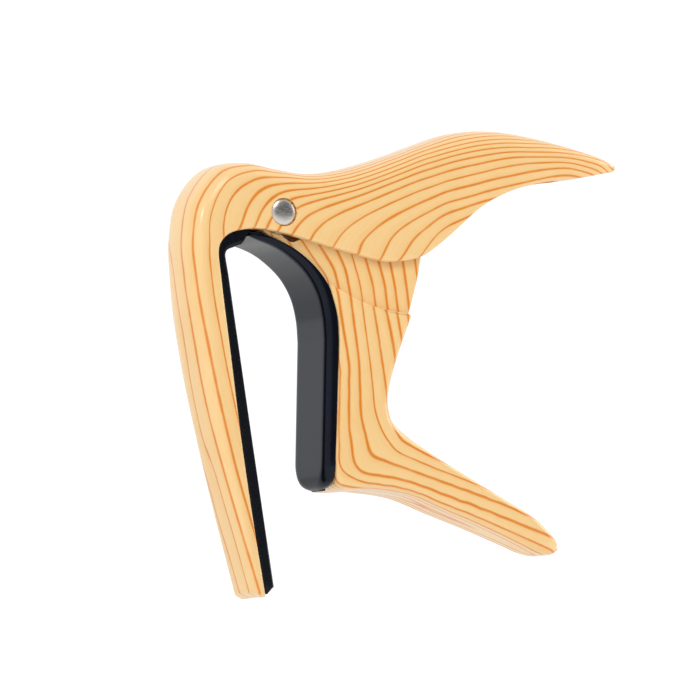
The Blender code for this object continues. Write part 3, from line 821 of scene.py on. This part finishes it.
def metal(name, colour, rough, scratch_scale):
    """Satin metal with fine brushing and small dark specks."""
    g = Graph(bpy.data.materials.new(name))
    place = g.place()
    brushed = g.node("Mapping", {"Vector": place, "Scale": (1.0, 0.25, 5.0)}).outputs["Vector"]
    scratches = g.noise(brushed, scratch_scale, 4.0, 0.7)
    specks = g.noise(place, 3200.0)
    shade = g.mix(g.spread(scratches, 0.3, 0.7), scaled(colour, 0.92), colour)
    shade = g.mix(g.spread(specks, 0.62, 0.78, 0.0, 0.35), shade, (0.1, 0.09, 0.085, 1.0))
    finish = g.spread(scratches, 0.25, 0.75, rough - 0.06, rough + 0.1)
    g.set(Base_Color=shade, Metallic=1.0, Roughness=finish)
    g.bump(scratches, 0.00002, 0.12)
    return g.owner


def nylon(name):
    """Natural nylon: milky, slightly waxy, with turning marks."""
    g = Graph(bpy.data.materials.new(name))
    place = g.place()
    turned_marks = g.node("Mapping", {"Vector": place, "Scale": (1.0, 6.0, 1.0)}).outputs["Vector"]
    marks = g.noise(turned_marks, 600.0, 3.0)
    clouds = g.noise(place, 300.0)
    tint = g.mix(g.spread(clouds, 0.3, 0.7), (0.62, 0.60, 0.54, 1.0), (0.74, 0.73, 0.68, 1.0))
    g.set(Base_Color=tint, Roughness=g.spread(marks, 0.3, 0.7, 0.38, 0.52))
    g.set(Subsurface_Weight=0.15, Subsurface_Scale=0.0008)
    g.bump(marks, 0.00003, 0.4)
    return g.owner


# --- Pieces ---


def arc(radius, start_degrees, end_degrees, steps):
    turns = np.radians(np.linspace(start_degrees, end_degrees, steps + 1))
    return np.column_stack((radius * np.cos(turns), radius * np.sin(turns)))


def upper_layers(skin):
    """Rings of the upper casting, from the distances along and round it."""
    coords = np.array(skin.coords)
    ring, spacing = with_spacing(upper_rings, coords[:, 0], coords[:, 1])
    return {"grain": np.column_stack((ring, spacing)), "run": coords}


def body_layers(skin, stations):
    """Rings of the body and handle. They follow the sides, and go on over the narrow faces."""
    points, coords = np.array(skin.points), np.array(skin.coords)
    ring, spacing = with_spacing(body_rings, points[:, 0], points[:, 2])
    runs = run_of(stations)
    here = [np.interp(coords[:, 0], runs, stations[:, k]) for k in range(5)]
    outer_x, outer_z, inner_x, inner_z, half = here
    thickness = np.hypot(inner_x - outer_x, inner_z - outer_z)
    down = np.hypot(points[:, 0] - outer_x, points[:, 2] - outer_z)
    toward_back = 1.0 - 2.0 * np.clip(down / thickness, 0.0, 1.0)
    soft, ridge, margin = 1.8, 0.3, 0.6
    inward = np.clip(half - np.hypot(points[:, 1], soft) * half / np.hypot(half, soft), 0.0, None)
    drift = BODY_DRIFT * np.clip(points[:, 1] / half, 0.0, 1.0)
    ring = ring + SIDE_RINGS * (np.hypot(inward, ridge) - ridge) * toward_back + drift
    spacing = np.where(inward > margin, np.minimum(spacing, 1.0 / SIDE_RINGS), spacing)
    return {"grain": np.column_stack((ring, spacing)), "run": coords}


def neck_layers(skin):
    """Rings of the neck and of the cutters of the lower casting, curved over the width of the ears."""
    points = np.array(skin.points)
    ring, spacing = with_spacing(neck_rings, points[:, 0], points[:, 2])
    across = np.clip(points[:, 1] / EAR_HALF, -1.0, 1.0)
    ring = ring + NECK_BOW * (1.0 - across**2) + NECK_DRIFT * across
    return {"grain": np.column_stack((ring, spacing)), "run": np.column_stack((points[:, 2], points[:, 0]))}


def stepped_hole(sink_radius, floor_y):
    """A cutter for the pin's hole with a wider sink at both ends, whose floors are this far out."""
    near = [(0.0, -CUTTER_REACH), (sink_radius, -CUTTER_REACH)]
    near += [(sink_radius, -floor_y), (HOLE_RADIUS, -floor_y)]
    return turned(near + [(radius, -y) for radius, y in reversed(near)], 96)


def upper_casting(finish, shadow):
    skin = limb(smooth_stations(UPPER, 0.6), (20, 20, 5, 11), corner=0.45, end_rounding=(0.35, 0.5))
    piece = made("upper_casting", skin, upper_layers(skin))
    piece.data.materials.append(finish)
    hollow_skin = limb(smooth_stations(HOLLOW, 1.0), (14, 14, 4, 6), corner=0.3, run_start=HOLLOW_RUN)
    hollow = made("hollow_cutter", hollow_skin, upper_layers(hollow_skin))
    hole_skin = stepped_hole(SINK_RADIUS, CHEEK_HALF - SINK_DEPTH)
    places = np.array(hole_skin.points)
    hole_skin.coords = np.column_stack((PIN_RUN + places[:, 0], PIN_ROUND - places[:, 2])).tolist()
    hole = made("hole_cutter", hole_skin, upper_layers(hole_skin))
    # The sink's wall gets a dark metal: painted shade for the narrow gap round the rivet head.
    hole.data.materials.append(shadow)
    return cut(piece, [(hollow, "DIFFERENCE"), (hole, "DIFFERENCE")])


def neck_outline():
    """Round the barrel, down the pad's seat, through the body, up the back and over the top."""
    barrel = arc(BARREL_RADIUS, 60.0, 262.0, 40)
    seat = smooth_stations(NECK_PAD, 0.8)
    seat = seat[(seat[:, 2] > 0.85) & (seat[:, 3] > -22.9), 2:4]
    back = resampled(smooth_line(NECK_BACK, 6), 26)
    top = smooth_line((NECK_BACK[-1], NECK_CORNER, *NECK_TOP), 5)[1:]
    return np.vstack((barrel, seat, NECK_LOW, back, top))


def smooth_line(points, steps):
    """A smooth line through points in a plane."""
    points = np.array(points, float)
    padded = np.vstack((2 * points[0] - points[1], points, 2 * points[-1] - points[-2]))
    line = []
    for a, b, c, d in zip(padded, padded[1:], padded[2:], padded[3:]):
        for t in np.arange(steps) / steps:
            square, cube = 2 * a - 5 * b + 4 * c - d, 3 * b - a - 3 * c + d
            line.append(0.5 * (2 * b + (c - a) * t + square * t**2 + cube * t**3))
    line.append(points[-1])
    return np.array(line)


def lower_casting(finish):
    stations = smooth_stations(LOWER, 0.3)
    skin = limb(stations, (20, 20, 7, 11), end_rounding=(0.35, 0.5), bow=SHOULDER_BOW)
    piece = made("lower_casting", skin, body_layers(skin, stations))
    piece.data.materials.append(finish)
    slot_line = np.vstack((SLOT_FRONT, arc(SLOT_RADIUS, 200.0, 245.0, 12), SLOT_BACK))
    notch_line = smooth_line(RELIEF + RELIEF[:1], 5)[:-1]
    shapes = (
        ("neck_shape", plate(neck_outline(), EAR_HALF, 0.35, 0.8), "UNION"),
        ("slot_cutter", plate(slot_line, SLOT_HALF, 0.3, 1.5), "DIFFERENCE"),
        ("relief_cutter", plate(notch_line, CUTTER_REACH, 0.05, 1.0), "DIFFERENCE"),
        ("ear_hole_cutter", stepped_hole(WASHER_RADIUS + 0.2, EAR_HALF - WASHER_THICKNESS), "DIFFERENCE"),
    )
    return cut(piece, [(made(name, shape, neck_layers(shape)), how) for name, shape, how in shapes])


def string_pad():
    bar = smooth_stations(UPPER, 0.5)
    bar = bar[: int(np.argmax(bar[:, 3]))]

    def seat_at(z):
        return np.interp(z, bar[:, 3], bar[:, 2]), np.interp(z, bar[:, 3], bar[:, 4])

    end_z = PAD_END_Z - PAD_TIP
    end_x, end_half = seat_at(end_z)
    rows = [(end_x + 0.7, end_z, end_x, end_z, end_half - 0.3, 0.1, 0.2)]
    for z in np.linspace(PAD_END_Z, PAD_TOP_Z, 60):
        seat_x, half = seat_at(z)
        face_x = PAD_CENTRE[0] - PAD_LEAN * (z - PAD_CENTRE[1])
        rows.append((face_x, z, seat_x, z, half - PAD_MARGIN, 0.5, 0.5))
    rows = np.vstack((rows, smooth_stations((rows[-1], *ARCH_PAD), 0.5)[1:]))
    piece = made("string_cushion", limb(rows, (18, 8, 3, 6), 2.0, 0.15, (0.2, 0.15)))
    return cut(piece, [(made("end_cutter", plate(PAD_END_CUT, 12.0, 0.1, 4.0)), "DIFFERENCE")])


def neck_pad():
    middle = resampled(smooth_stations((NECK_PAD[-1], NECK_PAD_END[0]), 0.8), 28)
    rows = np.vstack((smooth_stations(NECK_PAD, 0.6), middle[1:-1], smooth_stations(NECK_PAD_END, 0.4)))
    return shaded(made("neck_cushion", limb(rows, (18, 8, 3, 6), 2.0, 0.2, (0.1, 0.3))))


def head_profile(floor_y, side):
    """The profile of a shallow domed head, from the edge of its underside to the middle of the dome."""
    rim, bend = 0.2, 0.12
    profile = [(HEAD_RADIUS - bend, floor_y)]
    profile += [(HEAD_RADIUS, floor_y + side * rise) for rise in (bend, rim)]
    for turn in np.linspace(0.0, 0.5 * math.pi, 22)[1:-1]:
        radius = HEAD_RADIUS * math.cos(turn) ** 0.9
        profile.append((radius, floor_y + side * (rim + (HEAD_RISE - rim) * math.sin(turn) ** 0.95)))
    return profile + [(0.0, floor_y + side * HEAD_RISE)]


def rivet_parts():
    floor = CHEEK_HALF - SINK_DEPTH + 0.02
    bore, bore_floor, end = 1.05, 2.2, 6.6
    shank = [(0.0, bore_floor), (bore, bore_floor), (bore, end), (PIN_RADIUS, end), (PIN_RADIUS, -floor)]
    head = shaded(made("rivet_head", turned(shank + head_profile(-floor, -1), 128)))
    stem_end = bore_floor + 0.4
    stem = [(0.0, stem_end), (bore - 0.15, stem_end), (bore - 0.15, floor)]
    cap = shaded(made("rivet_cap", turned(stem + head_profile(floor, 1), 128)))
    return head, cap


def spring_path():
    """The wire's centre line: lower leg, coils along the pin, and upper leg."""
    lower_tilt, upper_tilt = math.radians(25.0), math.radians(12.0)
    start, end = math.pi + lower_tilt, 2 * math.pi * (COIL_TURNS + 0.5) - upper_tilt
    half_length = 0.5 * COIL_PITCH * (end - start) / (2 * math.pi)
    share = np.linspace(0.0, 1.0, 230)
    angle = start + (end - start) * share
    y = -half_length + 2 * half_length * share
    coil = np.column_stack((COIL_RADIUS * np.sin(angle), y, COIL_RADIUS * np.cos(angle)))
    lower = np.array((math.cos(lower_tilt), 0.0, -math.sin(lower_tilt)))
    upper = np.array((math.cos(upper_tilt), 0.0, math.sin(upper_tilt)))
    first = [coil[0] + lower * reach for reach in np.linspace(13.0, 0.4, 14)]
    last = [coil[-1] + upper * reach for reach in np.linspace(0.4, 14.0, 15)]
    return np.vstack((first, coil, last)), half_length


def torsion_spring():
    path, half_length = spring_path()
    return shaded(made("coil_spring", tube_along(path, WIRE_RADIUS))), half_length


def build_pieces():
    upper_finish, lower_finish = wood("printed_wood_upper", 0.07), wood("printed_wood_lower", 0.07)
    # A dark metal on the wall of the rivet's sink, standing in as painted shade round the head.
    sink_shade_metal = metal("painted_sink_shade", (0.09, 0.075, 0.065, 1.0), 0.45, 900.0)
    dress(upper_casting(upper_finish, sink_shade_metal), "bar", upper_finish, "bar_jaw")
    dress(lower_casting(lower_finish), "neck", lower_finish, "neck_jaw")
    dress(string_pad(), "bar", silicone("silicone_bar", srgb(7, 8, 12), 0.28), "string_pad")
    dress(neck_pad(), "neck", silicone("silicone_neck", srgb(8, 11, 20), 0.2), "neck_pad")
    nickel = metal("satin_nickel_rivet", (0.74, 0.7, 0.67, 1.0), 0.26, 1400.0)
    head, cap = rivet_parts()
    dress(head, "bar", nickel, "pivot_pin")
    dress(cap, "bar", nickel, "pivot_cap")
    spring, half_length = torsion_spring()
    steel = metal("spring_wire", (0.42, 0.41, 0.40, 1.0), 0.34, 900.0)
    dress(spring, None, steel, "torsion_spring")
    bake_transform(spring)
    plastic = nylon("natural_nylon")
    sleeve_outer = COIL_RADIUS - WIRE_RADIUS - 0.15
    ends = SLOT_HALF - 0.2
    sleeve = shaded(made("coil_sleeve", collar((PIN_RADIUS + 0.15, sleeve_outer, -ends, ends), 0.1)))
    dress(sleeve, "bar", plastic, "spring_sleeve")
    clearance = 0.5 * (BAY_HALF - EAR_HALF)
    for side, word in ((-1, "front"), (1, "rear")):
        faces = sorted(side * y for y in (EAR_HALF - WASHER_THICKNESS + clearance, EAR_HALF + clearance))
        washer = shaded(made("washer_" + word, collar((HOLE_RADIUS, WASHER_RADIUS, *faces), 0.1)))
        dress(washer, "bar", plastic, "thrust_washer_" + word)


# --- Studio ---

AZIMUTH, ELEVATION = math.radians(26.0), math.radians(-4.5)
CAMERA_DISTANCE = 1.5
FRAME_WIDTH = 0.1295  # width of the view at the rivet
SENSOR = 36.0
# Parts of the surroundings' light: a direction, the range of facing it, and the strength at both ends of it.
SURROUNDINGS = (
    ((0.438, 0.899, 0.0), -0.1, 0.4, 0.72, 1.0),
    ((0.438, -0.899, 0.1), 0.72, 0.96, 1.0, 0.1),
)
AIM_RIGHT, AIM_DOWN = 0.01214, 0.02553  # from the rivet to the middle of the view
SEEN_STRENGTH = 1.1  # the surroundings' strength where the camera looks straight at them
WHITE = (1.0, 1.0, 1.0, 1.0)
LAMP_COLOUR = (1.0, 0.985, 0.96)
# Lamps: name, direction and height in degrees, size in metres, and watts.
SOFTBOXES = (
    ("key", -62.0, 20.0, 0.14, 1.05),
    ("high", -12.0, 38.0, 0.35, 1.6),
    ("right", 78.0, 20.0, 0.5, 2.4),
)
LAMP_DISTANCE = 0.9
LAMP_AIM = (0.025, 0.0, 0.01)
FLOOR_REACH, FLOOR_Z = 3.0, -0.115


def camera():
    level = math.cos(ELEVATION)
    forward = Vector((math.sin(AZIMUTH) * level, math.cos(AZIMUTH) * level, -math.sin(ELEVATION)))
    right = Vector((math.cos(AZIMUTH), -math.sin(AZIMUTH), 0.0))
    up = right.cross(forward)
    rivet = Vector(PIVOT * MM) - Vector((0.0, CHEEK_HALF * MM, 0.0))
    data = bpy.data.cameras.new("camera")
    data.sensor_width = SENSOR
    data.lens = CAMERA_DISTANCE * SENSOR / FRAME_WIDTH
    data.clip_start, data.clip_end = 0.05, 20.0
    eye = bpy.data.objects.new("camera", data)
    eye.location = rivet + right * AIM_RIGHT - up * AIM_DOWN - forward * CAMERA_DISTANCE
    eye.rotation_mode = "QUATERNION"
    eye.rotation_quaternion = forward.to_track_quat("-Z", "Y")
    link(eye)
    bpy.context.scene.camera = eye


def softbox(name, azimuth, elevation, size, watts):
    """A square area light that looks at the object."""
    light = bpy.data.lights.new(name, "AREA")
    light.shape = "SQUARE"
    light.size = size
    light.energy = watts
    light.color = LAMP_COLOUR
    lamp = bpy.data.objects.new(name, light)
    a, e = math.radians(azimuth), math.radians(elevation)
    toward = Vector((math.sin(a) * math.cos(e), -math.cos(a) * math.cos(e), math.sin(e)))
    lamp.location = Vector(LAMP_AIM) + toward * LAMP_DISTANCE
    lamp.rotation_mode = "QUATERNION"
    lamp.rotation_quaternion = (-toward).to_track_quat("-Z", "Y")
    link(lamp)


def surroundings():
    """White all round. The light on the object is weaker from some directions."""
    world = bpy.data.worlds.new("studio")
    bpy.context.scene.world = world
    g = Graph(world)
    direction = g.node("TexCoord").outputs["Generated"]
    strength = 1.0
    for towards, start, end, low, high in SURROUNDINGS:
        both = {0: direction, 1: Vector(towards).normalized()}
        facing = g.node("VectorMath", both, operation="DOT_PRODUCT").outputs["Value"]
        strength = g.times(strength, g.spread(facing, start, end, low, high))
    lighting = g.tree.nodes["Background"]
    g.value(lighting.inputs["Color"], WHITE)
    g.value(lighting.inputs["Strength"], strength)
    seen = g.node("Background", {"Color": WHITE, "Strength": SEEN_STRENGTH}).outputs[0]
    looking = g.node("LightPath").outputs["Is Camera Ray"]
    mixed = g.node("MixShader", {0: looking, 1: lighting.outputs[0], 2: seen}).outputs[0]
    g.value(g.tree.nodes["World Output"].inputs["Surface"], mixed)


def paper_floor():
    mesh = bpy.data.meshes.new("floor")
    corners = [(x * FLOOR_REACH, y * FLOOR_REACH, FLOOR_Z) for x, y in ((-1, -1), (1, -1), (1, 1), (-1, 1))]
    mesh.from_pydata(corners, [], [(0, 1, 2, 3)])
    floor = bpy.data.objects.new("floor", mesh)
    link(floor)
    paper = Graph(bpy.data.materials.new("pale_paper"))
    tint = paper.mix(paper.noise(paper.place(), 40.0), (0.86, 0.86, 0.85, 1.0), (0.9, 0.9, 0.89, 1.0))
    paper.set(Base_Color=tint, Roughness=0.8)
    mesh.materials.append(paper.owner)


def studio():
    surroundings()
    for settings in SOFTBOXES:
        softbox(*settings)
    paper_floor()
    bpy.context.scene.view_settings.view_transform = "Standard"


build_pieces()
studio()
camera()
bpy.context.view_layer.update()
